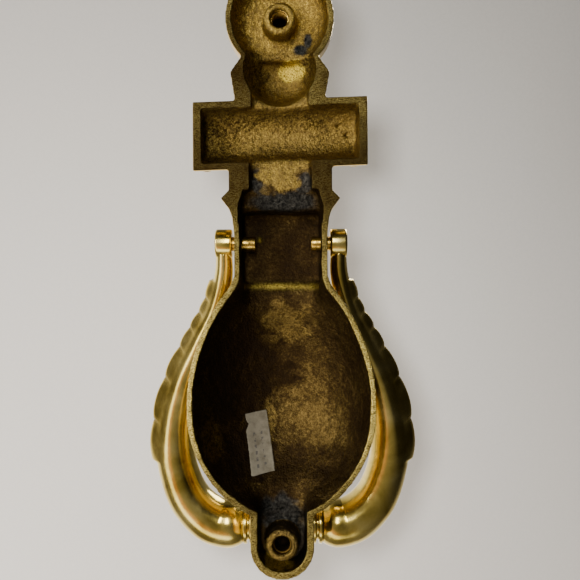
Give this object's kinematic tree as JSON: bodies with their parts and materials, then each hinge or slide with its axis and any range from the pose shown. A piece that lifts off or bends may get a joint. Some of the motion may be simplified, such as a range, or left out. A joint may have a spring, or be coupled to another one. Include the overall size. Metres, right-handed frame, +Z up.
{
  "type": "door knocker",
  "caption": "Cast door knocker: hollow urn-shaped backplate with tapped fixing bosses, and a leafy swinging handle on two pivot pins that strikes a pad on the foot.",
  "frame": {"origin": "on the back plane, halfway between the two fixing holes", "axes": "+Z up the door, front faces -Y, +Y into the door, X across with the knocker symmetric about X = 0"},
  "size_m": [0.094, 0.0304, 0.2059],
  "materials": {
    "cast_brass": "sand-cast and stained on the back, filed rim",
    "polished_brass": "polished, lightly tarnished",
    "pin_brass": "turned",
    "label_paper": "matt, torn"
  },
  "bodies": {
    "plate": {"backplate": "cast_brass", "label": "label_paper"},
    "handle": {"knocker": "polished_brass", "pivot_pin_left": "pin_brass", "pivot_pin_right": "pin_brass"}
  },
  "joints": [
    {"name": "handle_swing", "type": "hinge", "parent": "plate", "child": "handle", "pos_m": [0, -0.011, 0.0135], "axis": [-1, 0, 0], "range_deg": [0, 120]}
  ]
}
